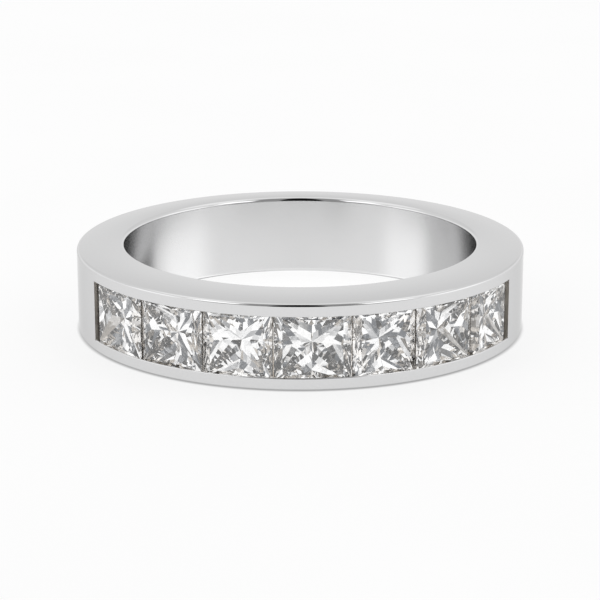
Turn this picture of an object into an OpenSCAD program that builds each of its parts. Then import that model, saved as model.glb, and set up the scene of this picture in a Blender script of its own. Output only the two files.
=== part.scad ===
// A channel set band lying on its side. One cast band carries a row of seven square cut
// stones in a channel across its front. The axis of the finger bore is Z and passes
// through the origin at half the band's width. The middle of the channel faces -Y.

/* [Band] */
// Diameter of the finger bore, in mm
bore_d = 17; // [16:0.1:21]
// Width of the band along the finger, in mm
band_w = 4; // [3.9:0.1:5]
// Thickness of the wall at the middle of the front, in mm
front_t = 2.95; // [2.95:0.05:3.6]
// Thickness of the wall at the middle of the back, in mm
back_t = 1.55; // [1.4:0.05:2.2]
// Bevel along the two outer edges, in mm
outer_edge = 0.1; // [0.04:0.01:0.12]
// Rounding of the two mouths of the bore, in mm
mouth_edge = 0.2; // [0.1:0.01:0.3]

/* [Channel] */
// Width of each stone that the lip of a rail covers, in mm
lip_cover = 0.22; // [0.16:0.01:0.28]
// Clearance between a stone and the metal around it, in mm
seat_gap = 0.03; // [0.02:0.005:0.05]
// Gap between the girdles of neighbouring stones, in mm
stone_gap = 0.04; // [0.03:0.005:0.08]

/* [Stones] */
// Side of each stone across the row at its girdle, in mm
stone_w = 3.24; // [3:0.02:3.3]
// Depth of the tables below the outer wall, in mm
table_recess = 0.09; // [0.06:0.01:0.12]
// Side of the table as a share of the stone's side
table_share = 0.78; // [0.66:0.01:0.8]
// Height of the crown as a share of the stone's side
crown_share = 0.075; // [0.07:0.005:0.085]
// Height of the girdle as a share of the stone's side
girdle_share = 0.025; // [0.02:0.005:0.03]
// Depth of the pavilion as a share of the stone's side
pavilion_share = 0.6; // [0.56:0.01:0.6]

/* [Hidden] */

// Side of each stone along the row as a share of its side across. The stones differ a
// little, so the middle one lies slightly past the channel's middle, toward +X.
row_shares = [1.08, 1.03, 0.98, 1.06, 0.92, 1.01, 0.92];
stone_count = len(row_shares);
widest = max(row_shares);
bore_r = bore_d / 2;
wall_r = (bore_d + front_t + back_t) / 2;
wall_shift = (front_t - back_t) / 2;

half_w = stone_w / 2;
table_half = half_w * table_share;
crown_h = stone_w * crown_share;
girdle_h = stone_w * girdle_share;
pavilion_h = stone_w * pavilion_share;
girdle_r = wall_r - table_recess - crown_h - girdle_h;

channel_w = stone_w - 2 * lip_cover;
half_turns = [for (share = row_shares) atan((half_w * share + stone_gap / 2) / girdle_r)];
row_angle = 2 * total(half_turns, stone_count);
// Angle from the end of the row to the end wall of the channel.
end_angle = atan(0.07 / girdle_r);
// Depth of the channel's floor below the first break of the pavilions.
floor_drop = 0.2;

// The line down the middle of a pavilion side: [share of the half width, share of the depth].
pavilion_steps = [[0.74, 0.41], [0.5, 0.66], [0.25, 0.85]];
// The break in the middle of a crown side: [share of the half width, share of the height].
crown_break = [0.88, 0.62];

// A corner of the band's outline in the plane of radius and width, cut to a round that
// meets both neighbouring lines at a slight angle.
module mouth_flare() {
  reach = mouth_edge;
  difference() {
    translate([bore_r - reach, band_w / 2 - reach])
      square([2 * reach, 2 * reach]);
    translate([bore_r + reach, band_w / 2 - reach])
      circle(r = reach * 1.03, $fn = 64);
  }
}

module bore_cut() {
  cylinder(h = band_w + 2, r = bore_r, center = true, $fn = 180);
  for (side = [0, 1])
    mirror([0, 0, side])
      rotate_extrude($fn = 180)
        mouth_flare();
}

module wall_body() {
  edge_r = wall_r - outer_edge;
  edge_z = band_w / 2 - outer_edge;
  rotate_extrude($fn = 180)
    polygon([
      [0, -band_w / 2], [edge_r, -band_w / 2], [wall_r, -edge_z],
      [wall_r, edge_z], [edge_r, band_w / 2], [0, band_w / 2]
    ]);
}

// The sum of the first values of a list.
function total(values, count) = count == 0 ? 0 : values[count - 1] + total(values, count - 1);

// Upper half of the channel's outline as [radius, height]: the trough, the groove that takes
// the girdles and the underside of the lip, which clears the crowns at their corners.
function channel_side() = let (
    open_z = channel_w / 2,
    groove_z = half_w + seat_gap,
    break_h = pavilion_h * pavilion_steps[0][1],
    pavilion_slope = break_h / (half_w * (1 - pavilion_steps[0][0])),
    lip_h = girdle_h + crown_h * lip_cover / (half_w - table_half)
  ) [
    [girdle_r - break_h - floor_drop, open_z],
    [girdle_r - seat_gap - (groove_z - open_z) * pavilion_slope, open_z],
    [girdle_r - seat_gap, groove_z],
    [norm([girdle_r + girdle_h, half_w * widest]) + seat_gap, groove_z],
    [norm([girdle_r + lip_h, open_z * widest]) + seat_gap, open_z],
    [wall_r + 1, open_z]
  ];

// A half outline and its mirror image below, as one closed outline.
function both_halves(side) = concat(
    side,
    [for (index = [len(side) - 1 : -1 : 0]) [side[index][0], -side[index][1]]]
  );

module channel_cut() {
  rotate([0, 0, -end_angle])
    rotate_extrude(angle = row_angle + 2 * end_angle, $fn = 180)
      polygon(both_halves(channel_side()));
}

// The outline of the hollow that a pavilion hangs in, from its first break down past the
// culet, swept straight through the stone at the given turn about the stone's axis. The
// outline's width is the given share of the stone's side across the row.
module hollow_sweep(turn, share) {
  side = [
    for (step = pavilion_steps)
      [-pavilion_h * step[1] - seat_gap, half_w * share * step[0] + seat_gap],
    [-pavilion_h - seat_gap, seat_gap]
  ];
  rotate([90, -90, turn])
    linear_extrude(height = stone_w + 1, center = true)
      polygon(both_halves(side));
}

module pavilion_hollow(share) {
  intersection() {
    hollow_sweep(0, share);
    hollow_sweep(90, 1);
  }
}

// Puts a stone's own axes in its place in the row: X along the row, Y up and Z out of the
// wall, with the girdle's lower plane at its radius. The row starts at +X.
module at_stone(index) {
  rotate([0, 0, 2 * total(half_turns, index - 1) + half_turns[index - 1]])
    translate([girdle_r, 0, 0])
      rotate([90, 0, 90])
        children();
}

// Turns the row from its start at +X to lie evenly about -Y, and sets the wall's axis
// forward of the bore's.
module facing_front() {
  translate([0, -wall_shift, 0])
    rotate([0, 0, -90 - row_angle / 2])
      children();
}

// The wall with the channel and the hollows cut in, about the axis of its own outline.
module carved_wall() {
  difference() {
    wall_body();
    channel_cut();
    for (index = [1 : stone_count])
      at_stone(index)
        pavilion_hollow(row_shares[index - 1]);
  }
}

module band() {
  color("silver")
    difference() {
      facing_front()
        carved_wall();
      bore_cut();
    }
}

// A point turned by whole quarters about the stone's axis.
function quarter(point, turns) = let (
    c = [1, 0, -1, 0][turns % 4],
    s = [0, 1, 0, -1][turns % 4]
  ) [point[0] * c - point[1] * s, point[0] * s + point[1] * c, point[2]];

// One stone of the given share along the row. Its points come in rings of four, and every
// pavilion facet but the first on each side runs out to a corner of the girdle.
module cut_stone(share) {
  steps = len(pavilion_steps);
  first_step = 16;
  culet = first_step + 4 * steps;
  corner_rings = [
    [table_half, table_half, girdle_h + crown_h],
    [half_w * crown_break[0], 0, girdle_h + crown_h * crown_break[1]],
    [half_w, half_w, girdle_h],
    [half_w, half_w, 0]
  ];
  step_rings = [for (step = pavilion_steps) [half_w * step[0], 0, -pavilion_h * step[1]]];
  square_points = [
    for (ring = concat(corner_rings, step_rings), side = [0 : 3]) quarter(ring, side),
    [0, 0, -pavilion_h]
  ];
  points = [for (point = square_points) [point[0] * share, point[1], point[2]]];
  table = [[3, 2, 1, 0]];
  sides = [
    for (side = [0 : 3])
      let (
        last = (side + 3) % 4,
        table_a = last, table_b = side, middle = 4 + side,
        top_a = 8 + last, top_b = 8 + side,
        low_a = 12 + last, low_b = 12 + side
      )
      each concat(
        [
          [table_a, table_b, middle],
          [top_a, table_a, middle],
          [table_b, top_b, middle],
          [middle, top_b, top_a],
          [top_a, top_b, low_b, low_a],
          [low_a, low_b, first_step + side]
        ],
        [
          for (step = [0 : steps - 1])
            let (
              here = first_step + 4 * step + side,
              next = step == steps - 1 ? culet : here + 4
            )
            each [[low_b, next, here], [low_a, here, next]]
        ]
      )
  ];
  polyhedron(points = points, faces = concat(table, sides));
}

module stone(index) {
  color([0.85, 0.92, 0.97])
    facing_front()
      at_stone(index)
        cut_stone(row_shares[index - 1]);
}

band();
stone(1);  // stone_1
stone(2);  // stone_2
stone(3);  // stone_3
stone(4);  // stone_4
stone(5);  // stone_5
stone(6);  // stone_6
stone(7);  // stone_7
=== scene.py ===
import math

import bmesh
import bpy
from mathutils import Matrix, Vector


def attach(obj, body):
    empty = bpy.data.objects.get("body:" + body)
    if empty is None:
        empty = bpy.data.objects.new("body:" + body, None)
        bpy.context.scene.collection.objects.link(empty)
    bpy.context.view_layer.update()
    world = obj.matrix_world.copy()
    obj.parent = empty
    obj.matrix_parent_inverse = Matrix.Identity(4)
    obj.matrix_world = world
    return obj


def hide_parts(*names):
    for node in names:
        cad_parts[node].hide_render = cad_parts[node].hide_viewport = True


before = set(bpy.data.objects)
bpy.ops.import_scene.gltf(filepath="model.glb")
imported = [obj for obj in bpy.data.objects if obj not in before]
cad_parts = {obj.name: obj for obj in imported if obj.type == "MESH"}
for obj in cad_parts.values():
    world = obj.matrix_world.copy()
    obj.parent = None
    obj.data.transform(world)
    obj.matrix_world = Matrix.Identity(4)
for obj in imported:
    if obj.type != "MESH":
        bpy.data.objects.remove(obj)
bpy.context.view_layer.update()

# Sizes of the ring, in metres, the same as in the part's source.
MM = 0.001
BORE_R = 8.5 * MM
FRONT_T = 2.95 * MM
BACK_T = 1.55 * MM
WALL_R = BORE_R + (FRONT_T + BACK_T) / 2
WALL_SHIFT = (FRONT_T - BACK_T) / 2
HALF_WIDTH = 2.0 * MM
MOUTH_EDGE = 0.2 * MM

ROW_SHARES = [1.08, 1.03, 0.98, 1.06, 0.92, 1.01, 0.92]
STONE_HALF = 1.62 * MM
STONE_GAP = 0.04 * MM
SEAT_GAP = 0.03 * MM
END_GAP = 0.07 * MM
LIP_COVER = 0.22 * MM
TABLE_RECESS = 0.09 * MM
TABLE_HALF = STONE_HALF * 0.78
CROWN_H = 2 * STONE_HALF * 0.075
GIRDLE_H = 2 * STONE_HALF * 0.025
PAVILION_H = 2 * STONE_HALF * 0.6
GIRDLE_R = WALL_R - TABLE_RECESS - CROWN_H - GIRDLE_H
# The first break of the pavilions: its depth below the girdle and its half width.
BREAK_H = PAVILION_H * 0.41
BREAK_HALF = STONE_HALF * 0.74

HALF_TURNS = [math.atan((STONE_HALF * share + STONE_GAP / 2) / GIRDLE_R) for share in ROW_SHARES]
CHANNEL_HALF = sum(HALF_TURNS) + math.atan(END_GAP / GIRDLE_R)
OPEN_HALF = STONE_HALF - LIP_COVER

# What the scene's band has of its own: rounded outer edges and lips, and one trough for all the
# stones, this much deeper than their culets.
OUTER_EDGE = 0.14 * MM
LIP_EDGE = 0.05 * MM
TROUGH_GAP = 0.05 * MM
# Lean of the flat sides' normals at their rims, in degrees, as if polishing had domed them.
SIDE_LEAN = 2.5

# Steps of the band's mesh along the channel, along the rest of the band and round the edges.
CHANNEL_STEPS = 220
REST_STEPS = 200
OUTER_STEPS = 6
MOUTH_STEPS = 8
LIP_STEPS = 4

# Places of the finishes in the band's list of materials.
OUTSIDE, BORE, SEAT, TROUGH, END = range(5)


# Band. A section of it is a list of (radius, height) points with (outward, upward) normals.

def rounded(centre_r, centre_z, radius, start, end, steps):
    """Points and normals of an arc in a section, with its angles in degrees up from outward."""
    angles = [math.radians(start + (end - start) * i / steps) for i in range(steps + 1)]
    normals = [(math.cos(a), math.sin(a)) for a in angles]
    points = [(centre_r + radius * out, centre_z + radius * up) for out, up in normals]
    return points, normals


def mirrored(pairs):
    """The same section's points or normals on the lower side, in the opposite order."""
    return [(first, -second) for first, second in reversed(pairs)]


def smooth(normals):
    """The top and bottom normals of each strip of a smooth section."""
    return list(zip(normals, normals[1:]))


def flat(top, bottom):
    """The top and bottom normals, both the same, of a straight strip between two points."""
    (top_r, top_z), (bottom_r, bottom_z) = top, bottom
    length = math.hypot(bottom_r - top_r, bottom_z - top_z)
    normal = ((top_z - bottom_z) / length, (bottom_r - top_r) / length)
    return normal, normal


class Skin:
    """A mesh of strips between rows of vertices that run round the finger."""

    def __init__(self, angles):
        """Takes the angle from the front of each column of vertices."""
        self.angles = angles
        self.verts = []
        self.faces = []
        self.normals = []
        self.finishes = []

    def add_rows(self, section, shift, columns):
        """A row of vertices for each point of a section, about an axis set forward by shift."""
        rows = []
        for r, z in section:
            rows.append(range(len(self.verts), len(self.verts) + len(columns)))
            for a in (self.angles[column] for column in columns):
                self.verts.append((r * math.sin(a), -shift - r * math.cos(a), z))
        return rows

    def add_face(self, corners, normals, finish):
        self.faces.append(corners)
        self.normals.extend(normals)
        self.finishes.append(finish)

    def turned(self, column, normal):
        """A section's normal, turned to the angle of a column."""
        a = self.angles[column]
        out, up = normal
        return (out * math.sin(a), -out * math.cos(a), up)

    def add_strips(self, rows, normals, columns, finishes):
        """Quads between rows along the columns. Each strip has a top and a bottom normal."""
        for top, bottom, (top_normal, bottom_normal), finish in zip(rows, rows[1:], normals, finishes):
            for c, d in zip(columns, columns[1:]):
                corners = (top[c], bottom[c], bottom[d], top[d])
                corner_normals = (
                    self.turned(c, top_normal),
                    self.turned(c, bottom_normal),
                    self.turned(d, bottom_normal),
                    self.turned(d, top_normal),
                )
                self.add_face(corners, corner_normals, finish)

    def as_object(self, name):
        mesh = bpy.data.meshes.new(name)
        mesh.from_pydata(self.verts, [], self.faces)
        mesh.update()
        mesh.shade_smooth()
        mesh.normals_split_custom_set(self.normals)
        mesh.polygons.foreach_set("material_index", self.finishes)
        obj = bpy.data.objects.new(name, mesh)
        bpy.context.scene.collection.objects.link(obj)
        return obj


def add_outer_side(skin, every, beyond):
    """The outer edges and rails all round, and the plain wall beyond the channel."""
    edge, edge_normals = rounded(
        WALL_R - OUTER_EDGE, HALF_WIDTH - OUTER_EDGE, OUTER_EDGE, 90, 0, OUTER_STEPS
    )
    rail = edge + [(WALL_R, OPEN_HALF + LIP_EDGE)]
    rail_normals = edge_normals + [(1, 0)]
    upper = skin.add_rows(rail, WALL_SHIFT, every)
    lower = skin.add_rows(mirrored(rail), WALL_SHIFT, every)
    around = every + every[:1]
    finishes = [OUTSIDE] * len(edge)
    skin.add_strips(upper, smooth(rail_normals), around, finishes)
    skin.add_strips(lower, smooth(mirrored(rail_normals)), around, finishes)
    skin.add_strips([upper[-1], lower[0]], [((1, 0), (1, 0))], beyond, [OUTSIDE])
    return upper, lower


def add_bore(skin, every):
    """The bore's wall between its two rounded mouths, about the bore's own axis."""
    mouth, mouth_normals = rounded(
        BORE_R + MOUTH_EDGE, HALF_WIDTH - MOUTH_EDGE, MOUTH_EDGE, 90, 180, MOUTH_STEPS
    )
    rows = skin.add_rows(mouth + mirrored(mouth), 0.0, every)
    normals = smooth(mouth_normals + mirrored(mouth_normals))
    backward = every[::-1] + every[-1:]
    finishes = [OUTSIDE] * MOUTH_STEPS + [BORE] + [OUTSIDE] * MOUTH_STEPS
    skin.add_strips(rows, normals, backward, finishes)
    return rows


def add_flat_sides(skin, every, upper_rims, lower_rims):
    """The two flat sides, each between its rims, with normals that lean toward the rims."""
    lean = math.radians(SIDE_LEAN)
    out, up = math.sin(lean), math.cos(lean)
    around = every + every[:1]
    skin.add_strips(upper_rims, [((-out, up), (out, up))], around, [OUTSIDE])
    skin.add_strips(lower_rims, [((out, -up), (-out, -up))], around, [OUTSIDE])


def channel_section():
    """The channel from the upper lip down to the lower one, and the normals of its strips."""
    pavilion_slope = BREAK_H / (STONE_HALF - BREAK_HALF)
    groove = STONE_HALF + SEAT_GAP
    widest = max(ROW_SHARES)
    lip_h = GIRDLE_H + CROWN_H * LIP_COVER / (STONE_HALF - TABLE_HALF)
    lip, lip_normals = rounded(
        WALL_R - LIP_EDGE, OPEN_HALF + LIP_EDGE, LIP_EDGE, 0, -90, LIP_STEPS
    )
    # Below the lip: its underside, the groove's two corners, the trough's edge and its floor.
    half = lip + [
        (math.hypot(GIRDLE_R + lip_h, OPEN_HALF * widest) + SEAT_GAP, OPEN_HALF),
        (math.hypot(GIRDLE_R + GIRDLE_H, STONE_HALF * widest) + SEAT_GAP, groove),
        (GIRDLE_R - SEAT_GAP, groove),
        (GIRDLE_R - SEAT_GAP - (groove - OPEN_HALF) * pavilion_slope, OPEN_HALF),
        (GIRDLE_R - PAVILION_H - TROUGH_GAP, OPEN_HALF),
    ]
    section = half + mirrored(half)
    inside = section[LIP_STEPS:-LIP_STEPS]
    flats = [flat(top, bottom) for top, bottom in zip(inside, inside[1:])]
    return section, smooth(lip_normals) + flats + smooth(mirrored(lip_normals))


def add_channel(skin, columns, upper_lip, lower_lip):
    """The channel between the rails' inner rows: lips, grooves, trough and two end walls."""
    section, normals = channel_section()
    rows = [upper_lip] + skin.add_rows(section[1:-1], WALL_SHIFT, columns) + [lower_lip]
    above_trough = len(normals) // 2
    half = [OUTSIDE] * LIP_STEPS + [SEAT] * (above_trough - LIP_STEPS)
    skin.add_strips(rows, normals, columns, half + [TROUGH] + half[::-1])
    # The end walls face each other, so their corners run in opposite orders.
    for column, way in ((columns[0], 1), (columns[-1], -1)):
        a = skin.angles[column]
        outline = [row[column] for row in rows][::-way]
        normal = (way * math.cos(a), way * math.sin(a), 0)
        skin.add_face(outline, [normal] * len(outline), END)


def build_band():
    """The cast band as one closed mesh with rounded edges and exact normals along the curves."""
    width = 2 * CHANNEL_HALF
    rest = 2 * math.pi - width
    angles = [-CHANNEL_HALF + width * i / CHANNEL_STEPS for i in range(CHANNEL_STEPS + 1)]
    angles += [CHANNEL_HALF + rest * i / REST_STEPS for i in range(1, REST_STEPS)]
    every = list(range(len(angles)))
    opened = every[:CHANNEL_STEPS + 1]
    beyond = every[CHANNEL_STEPS:] + every[:1]

    skin = Skin(angles)
    upper, lower = add_outer_side(skin, every, beyond)
    bore = add_bore(skin, every)
    add_flat_sides(skin, every, [bore[0], upper[0]], [lower[-1], bore[-1]])
    add_channel(skin, opened, upper[-1], lower[0])
    return skin.as_object("band_polished")


# Node trees

# Numbers of the sockets that hold the two colours and the result of a colour mix.
FIRST_COLOUR, SECOND_COLOUR, MIXED_COLOUR = 6, 7, 2


class Nodes:
    """A node tree with short ways to add nodes. An input is a value or another node's output."""

    def __init__(self, tree):
        self.tree = tree
        tree.nodes.clear()

    def feed(self, node, inputs):
        """Sets or links the inputs, each given by its name or number."""
        for key, value in inputs.items():
            if isinstance(value, bpy.types.NodeSocket):
                self.tree.links.new(value, node.inputs[key])
            else:
                node.inputs[key].default_value = value

    def add(self, kind, inputs):
        node = self.tree.nodes.new("ShaderNode" + kind)
        self.feed(node, inputs)
        return node

    def calc(self, operation, *inputs):
        """The result of a calculation with numbers."""
        node = self.add("Math", {})
        node.operation = operation
        self.feed(node, dict(enumerate(inputs)))
        return node.outputs["Value"]

    def vector(self, operation, *inputs):
        """The outputs, Vector and Value, of a calculation with vectors."""
        node = self.add("VectorMath", {})
        node.operation = operation
        self.feed(node, dict(enumerate(inputs)))
        return node.outputs

    def noise(self, place, scale, detail=2.0):
        """Soft noise from 0 to 1."""
        node = self.add("TexNoise", {"Vector": place, "Scale": scale, "Detail": detail})
        return node.outputs["Fac"]

    def mix(self, share, first, second):
        """A colour between two others."""
        node = self.add("Mix", {})
        node.data_type = "RGBA"
        self.feed(node, {"Factor": share, FIRST_COLOUR: first, SECOND_COLOUR: second})
        return node.outputs[MIXED_COLOUR]

    def ease(self, value, start, end, low=0.0, high=1.0):
        """A soft step from low to high as the value goes from start to end."""
        node = self.add("MapRange", {
            "Value": value,
            "From Min": start,
            "From Max": end,
            "To Min": low,
            "To Max": high,
        })
        node.interpolation_type = "SMOOTHSTEP"
        return node.outputs["Result"]


# Materials. Colours are linear, with alpha, and the scales of patterns are in steps per metre.

METAL = ((0.690, 0.690, 0.694, 1), (0.730, 0.730, 0.732, 1))
# Darker metal for the channel's end walls: painted shade for the shadow at the channel's ends.
END_SHADE_METAL = ((0.30, 0.28, 0.26, 1), (0.36, 0.34, 0.31, 1))
# What the metal's reflections are multiplied by where it is seen at a flat angle.
EDGE_TINT = (0.79, 0.79, 0.79, 1)
BORE_EDGE_TINT = (0.50, 0.50, 0.50, 1)

# Roughness of the metals where their clouds are smoothest and where they are roughest.
OUTSIDE_ROUGHNESS = (0.06, 0.08)
BORE_ROUGHNESS = (0.20, 0.24)
END_ROUGHNESS = (0.30, 0.40)
CLOUD_SCALE = 420.0

# The fine grain of the metals.
GRAIN_SCALE = 9000.0
GRAIN_DETAIL = 3.0
GRAIN_STRENGTH = 0.1
GRAIN_DEPTH = 0.002 * MM

# Metal behind the stones, glowing in small patches: painted light for the light that a real ring's
# open back lets in. Each patch draws a number from 0 to 1, and each tone is for the patches from its
# number on.
SEAT_COLOUR = (0.42, 0.40, 0.37, 1)
SEAT_ROUGHNESS = 0.35
PATCH_SCALE = 1200.0
PATCH_TONES = [
    (0.0, (0.09, 0.08, 0.07, 1)),
    (0.30, (0.40, 0.365, 0.325, 1)),
    (0.60, (1.0, 0.985, 0.97, 1)),
]
SEAT_GLOW = 0.86
TROUGH_GLOW = 0.48

STONE_IOR = 2.417
STONE_TINTS = ((0.975, 0.985, 1.0, 1), (1.0, 0.99, 0.975, 1))
STONE_CLOUD_SCALE = 700.0
# The girdle is where the surface leans from the way out by less than this, as a sine.
GIRDLE_LEAN = 0.24
# The girdle's dark colour is painted shade for the seams between the stones; its roughness is the matt
# of a ground girdle.
GIRDLE_SHADE_COLOUR = (0.12, 0.10, 0.08, 1)
GIRDLE_ROUGHNESS = 0.5

FLOOR_COLOURS = ((0.21, 0.21, 0.21, 1), (0.23, 0.23, 0.23, 1))
FLOOR_ROUGHNESS = 0.9
FLOOR_CLOUD_SCALE = 60.0
WHITE = (1, 1, 1, 1)
# The floor's own light: round the ring, inside the finger hole and under the band's foot, where it is
# dimmer as a painted contact shadow.
FLOOR_GLOW = 0.79
# Inside the finger hole the floor's light is stronger: painted light against the ring's shade there.
MIDDLE_GLOW = 0.86
FOOT_SHADOW_GLOW = 0.40
# The painted shadow's dimmer light at the foot passes into the floor's from this far inside the outer
# wall to this far out.
FOOT_INSET = 0.1 * MM
FOOT_REACH = 0.15 * MM


def new_material(name, settings):
    """A principled shader with the settings that are the same all over, and coordinates."""
    material = bpy.data.materials.new(name)
    material.use_nodes = True
    nodes = Nodes(material.node_tree)
    shader = nodes.add("BsdfPrincipled", settings)
    nodes.add("OutputMaterial", {"Surface": shader.outputs["BSDF"]})
    coords = nodes.add("TexCoord", {}).outputs
    return material, nodes, shader, coords


def new_metal(name, colours, edge_tint, roughness):
    """White gold with a grain in its colour and clouds in its roughness, and that grain."""
    settings = {"Metallic": 1.0, "Specular Tint": edge_tint}
    material, nodes, shader, coords = new_material(name, settings)
    grain = nodes.noise(coords["Object"], GRAIN_SCALE, GRAIN_DETAIL)
    smoothest, roughest = roughness
    clouds = nodes.add("MapRange", {
        "Value": nodes.noise(coords["Object"], CLOUD_SCALE),
        "To Min": smoothest,
        "To Max": roughest,
    })
    nodes.feed(shader, {
        "Base Color": nodes.mix(grain, *colours),
        "Roughness": clouds.outputs["Result"],
    })
    return material, nodes, shader, grain


def grained_metal(name, colours, roughness):
    """White gold with its grain in faint relief."""
    material, nodes, shader, grain = new_metal(name, colours, EDGE_TINT, roughness)
    relief = nodes.add("Bump", {
        "Height": grain,
        "Strength": GRAIN_STRENGTH,
        "Distance": GRAIN_DEPTH,
    })
    nodes.feed(shader, {"Normal": relief.outputs["Normal"]})
    return material


def bore_metal():
    """White gold polished round the finger, which draws its reflections out along the bore."""
    material, nodes, shader, _ = new_metal(
        "white_gold_bore", METAL, BORE_EDGE_TINT, BORE_ROUGHNESS
    )
    around = nodes.add("Tangent", {})
    around.direction_type = "RADIAL"
    around.axis = "Z"
    nodes.feed(shader, {
        "Anisotropic": 0.8,
        "Anisotropic Rotation": 0.25,
        "Tangent": around.outputs["Tangent"],
    })
    return material


def seat_metal(name, glow):
    """Metal behind the stones, with painted light of its own in patches of three tones."""
    material, nodes, shader, coords = new_material(name, {
        "Metallic": 1.0,
        "Base Color": SEAT_COLOUR,
        "Roughness": SEAT_ROUGHNESS,
        "Emission Strength": glow,
    })
    patches = nodes.add("TexVoronoi", {"Vector": coords["Object"], "Scale": PATCH_SCALE})
    number = nodes.add("SeparateColor", {"Color": patches.outputs["Color"]}).outputs["Red"]
    tones = nodes.add("ValToRGB", {"Fac": number})
    stops = tones.color_ramp.elements
    tones.color_ramp.interpolation = "CONSTANT"
    stops.remove(stops[1])
    stops[0].color = PATCH_TONES[0][1]
    for start, tone in PATCH_TONES[1:]:
        stops.new(start).color = tone
    nodes.feed(shader, {"Emission Color": tones.outputs["Color"]})
    return material


def clear_stone():
    """Clear stone with a faint tint in clouds and a matt girdle, as ground ones are, painted dark as
    shade in the seams between the stones.
    """
    settings = {"IOR": STONE_IOR, "Transmission Weight": 1.0}
    material, nodes, shader, coords = new_material("clear_stone", settings)
    tint = nodes.mix(nodes.noise(coords["Object"], STONE_CLOUD_SCALE), *STONE_TINTS)
    # The way out, level from the outer wall's axis.
    from_axis = nodes.vector("MULTIPLY_ADD", coords["Object"], (1, 1, 0), (0, WALL_SHIFT, 0))
    outward = nodes.vector("NORMALIZE", from_axis["Vector"])
    lean = nodes.vector("DOT_PRODUCT", outward["Vector"], coords["Normal"])
    girdle = nodes.calc("COMPARE", lean["Value"], 0.0, GIRDLE_LEAN)
    nodes.feed(shader, {
        "Base Color": nodes.mix(girdle, tint, GIRDLE_SHADE_COLOUR),
        "Roughness": nodes.calc("MULTIPLY", girdle, GIRDLE_ROUGHNESS),
    })
    return material


def pale_floor(name, glow):
    """Matt pale floor with light of its own."""
    material, nodes, shader, coords = new_material(name, {
        "Roughness": FLOOR_ROUGHNESS,
        "Specular IOR Level": 0.0,
        "Emission Color": WHITE,
        "Emission Strength": glow,
    })
    clouds = nodes.noise(coords["Object"], FLOOR_CLOUD_SCALE)
    nodes.feed(shader, {"Base Color": nodes.mix(clouds, *FLOOR_COLOURS)})
    return material, nodes, shader, coords


def floor_with_foot_shadow():
    """The floor round the ring, with a painted shadow under the band's foot."""
    material, nodes, shader, coords = pale_floor("pale_floor", FLOOR_GLOW)
    away = nodes.vector("DISTANCE", coords["Object"], (0, -WALL_SHIFT, 0))["Value"]
    glow = nodes.ease(away, WALL_R - FOOT_INSET, WALL_R + FOOT_REACH, FOOT_SHADOW_GLOW, FLOOR_GLOW)
    nodes.feed(shader, {"Emission Strength": glow})
    return material


# The ring's pieces

band = build_band()
for material in (
    grained_metal("white_gold_outside", METAL, OUTSIDE_ROUGHNESS),
    bore_metal(),
    seat_metal("white_gold_seat_painted_glow", SEAT_GLOW),
    seat_metal("white_gold_trough_painted_glow", TROUGH_GLOW),
    grained_metal("white_gold_end_painted_shade", END_SHADE_METAL, END_ROUGHNESS),
):
    band.data.materials.append(material)
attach(band, "root")
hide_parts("band")

stone = clear_stone()
for index in range(1, len(ROW_SHARES) + 1):
    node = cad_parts[f"stone_{index}"]
    for material_slot in node.material_slots:
        material_slot.material = stone


# Floor, in two sheets that meet under the band

FLOOR_R = 2.5
MIDDLE_R = BORE_R + 0.4 * MM
FLOOR_SIDES = 96


def add_rim(sheet, radius):
    """A ring of vertices."""
    turns = [2 * math.pi * i / FLOOR_SIDES for i in range(FLOOR_SIDES)]
    return [sheet.verts.new((radius * math.cos(a), radius * math.sin(a), 0)) for a in turns]


def lay(sheet, name, material):
    """Lays a sheet under the ring, out of sight of the rays inside the stones."""
    mesh = bpy.data.meshes.new(name)
    sheet.to_mesh(mesh)
    sheet.free()
    mesh.materials.append(material)
    obj = bpy.data.objects.new(name, mesh)
    obj.location = (0, 0, -HALF_WIDTH)
    obj.visible_transmission = False
    bpy.context.scene.collection.objects.link(obj)
    return obj


def build_floor():
    sheet = bmesh.new()
    outer = add_rim(sheet, FLOOR_R)
    inner = add_rim(sheet, MIDDLE_R)
    for i in range(FLOOR_SIDES):
        j = (i + 1) % FLOOR_SIDES
        sheet.faces.new((outer[i], outer[j], inner[j], inner[i]))
    lay(sheet, "floor", floor_with_foot_shadow())


def build_floor_middle():
    """The part inside the finger hole, out of reflections, so the bore mirrors the studio."""
    sheet = bmesh.new()
    sheet.faces.new(add_rim(sheet, MIDDLE_R))
    # This sheet glows more than the floor round it: painted light against the ring's shade in the
    # hole.
    material = pale_floor("pale_floor_middle", MIDDLE_GLOW)[0]
    middle = lay(sheet, "floor_middle", material)
    middle.visible_glossy = False


build_floor()
build_floor_middle()


# Camera, fitted to the outlines in the photo

# Where it stands from the ring's middle, and how far below level it looks, in degrees.
CAMERA_AZIMUTH = -0.9
CAMERA_ELEVATION = 15.595
CAMERA_DISTANCE = 109.2 * MM
CAMERA_PITCH = 16.154
# Its lens and the width of its sensor, in millimetres.
CAMERA_LENS = 134.1
CAMERA_SENSOR = 36.0
CAMERA_NEAREST = 1 * MM
CAMERA_FARTHEST = 20.0


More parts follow.
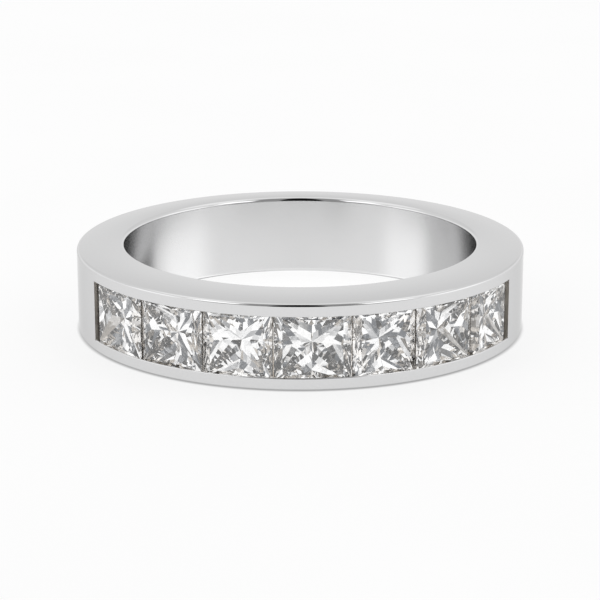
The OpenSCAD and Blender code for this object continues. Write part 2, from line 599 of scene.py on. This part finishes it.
def build_camera():
    azimuth = math.radians(CAMERA_AZIMUTH)
    elevation = math.radians(CAMERA_ELEVATION)
    pitch = math.radians(CAMERA_PITCH)
    data = bpy.data.cameras.new("camera")
    data.sensor_width = CAMERA_SENSOR
    data.lens = CAMERA_LENS
    data.clip_start = CAMERA_NEAREST
    data.clip_end = CAMERA_FARTHEST
    camera = bpy.data.objects.new("camera", data)
    level = CAMERA_DISTANCE * math.cos(elevation)
    camera.location = (
        level * math.sin(azimuth),
        -level * math.cos(azimuth),
        CAMERA_DISTANCE * math.sin(elevation),
    )
    ahead = Vector((
        -math.sin(azimuth) * math.cos(pitch),
        math.cos(azimuth) * math.cos(pitch),
        -math.sin(pitch),
    ))
    camera.rotation_mode = "QUATERNION"
    camera.rotation_quaternion = ahead.to_track_quat("-Z", "Y")
    bpy.context.scene.collection.objects.link(camera)
    bpy.context.scene.camera = camera


build_camera()


# Light

# Brightness of the studio by direction, painted in order over a plain base. Each row has the
# middle's azimuth from the front and its elevation, the half width and half height, the widths
# of the soft edges sideways and upward, all in degrees, and the brightness.
STUDIO_BASE = 1.0
ALL_ROUND = 400
STUDIO = [
    ("low dome", 0, 10, ALL_ROUND, 14, 6, 6, 1.09),
    ("upper dome", 0, 60, ALL_ROUND, 38, 6, 12, 0.88),
    ("below", 0, -40, ALL_ROUND, 36, 6, 6, 1.04),
    ("right below", 86, -16, 8, 30, 22, 24, 1.36),
    ("left below", -78, -16, 8, 30, 16, 24, 1.31),
    ("right gap below", 131, -40, 7, 36, 13, 6, 0.26),
    ("left gap below", -122, -40, 16, 36, 12, 6, 0.76),
    ("overhead light", 0, 60, ALL_ROUND, 10, 6, 4, 1.12),
    ("front dome", 0, 40, 36, 36, 36, 8, 0.34),
    ("left light", -48, 36, 13, 13, 3, 3, 1.65),
    ("right light", 48, 36, 13, 13, 3, 3, 1.65),
    ("camera", -2, 40, 12, 40, 4, 4, 0.01),
]

# Light panels that only the rays inside the stones see, bright and dark by turns: the turn from
# one bright panel to the next and the elevation of a row of them, in degrees, and the colours.
# The wave across them runs from -1 to 1, and their soft edges take this stretch of it.
PANEL_TURN = 22
PANEL_ROW = 4
PANEL_EDGE = (-0.28, 0.20)
PANEL_DARK = (0.115, 0.125, 0.140, 1)
PANEL_BRIGHT = (1.16, 1.16, 1.16, 1)
# The camera's dark spot in front of them: its azimuth, elevation, half width and the width of
# its soft edge, in degrees, and its colour.
LENS_SPOT = (-1, 16, 9, 4)
LENS_DARK = (0.03, 0.03, 0.03, 1)

# Width of the map that the world's light is sampled with.
LIGHT_MAP_WIDTH = 1024


def near(nodes, angle, middle, half, soft):
    """1 within half of the middle, and 0 beyond the soft edge."""
    away = nodes.calc("ABSOLUTE", nodes.calc("SUBTRACT", angle, math.radians(middle)))
    return nodes.ease(away, math.radians(half + soft), math.radians(half))


def wave(nodes, angle, middle):
    """1 at the middle and at each panel's turn from it, and -1 halfway between."""
    away = nodes.calc("SUBTRACT", angle, math.radians(middle))
    return nodes.calc("COSINE", nodes.calc("MULTIPLY", away, 360 / PANEL_TURN))


def studio_light(nodes, azimuth, elevation):
    light = STUDIO_BASE
    for name, az, el, half_az, half_el, soft_az, soft_el, brightness in STUDIO:
        sideways = near(nodes, azimuth, az, half_az, soft_az)
        share = nodes.calc("MULTIPLY", sideways, near(nodes, elevation, el, half_el, soft_el))
        layer = nodes.add("Mix", {"Factor": share, "A": light, "B": brightness})
        layer.label = name
        light = layer.outputs["Result"]
    return light


def panel_light(nodes, azimuth, elevation):
    pattern = nodes.calc("MULTIPLY", wave(nodes, azimuth, 0), wave(nodes, elevation, PANEL_ROW))
    panels = nodes.mix(nodes.ease(pattern, *PANEL_EDGE), PANEL_DARK, PANEL_BRIGHT)
    az, el, half, soft = LENS_SPOT
    sideways = near(nodes, azimuth, az, half, soft)
    spot = nodes.calc("MULTIPLY", sideways, near(nodes, elevation, el, half, soft))
    return nodes.mix(spot, panels, LENS_DARK)


def build_world():
    world = bpy.data.worlds.new("studio")
    world.use_nodes = True
    nodes = Nodes(world.node_tree)
    direction = nodes.add("TexCoord", {}).outputs["Generated"]
    x, y, z = nodes.add("SeparateXYZ", {"Vector": direction}).outputs
    azimuth = nodes.calc("ARCTAN2", x, nodes.calc("MULTIPLY", y, -1.0))
    elevation = nodes.calc("ARCSINE", z)
    studio = studio_light(nodes, azimuth, elevation)
    panels = panel_light(nodes, azimuth, elevation)
    in_stone = nodes.add("LightPath", {}).outputs["Is Transmission Ray"]
    light = nodes.add("Background", {"Color": nodes.mix(in_stone, studio, panels)})
    nodes.add("OutputWorld", {"Surface": light.outputs["Background"]})
    world.cycles.sampling_method = "MANUAL"
    world.cycles.sample_map_resolution = LIGHT_MAP_WIDTH
    bpy.context.scene.world = world


build_world()


# Plain colours, and enough bounces for the light inside the stones

scene = bpy.context.scene
scene.view_settings.view_transform = "Standard"
scene.view_settings.look = "None"
scene.cycles.max_bounces = 24
scene.cycles.transmission_bounces = 24
scene.cycles.glossy_bounces = 8
scene.cycles.diffuse_bounces = 4
scene.cycles.caustics_reflective = True
scene.cycles.caustics_refractive = True
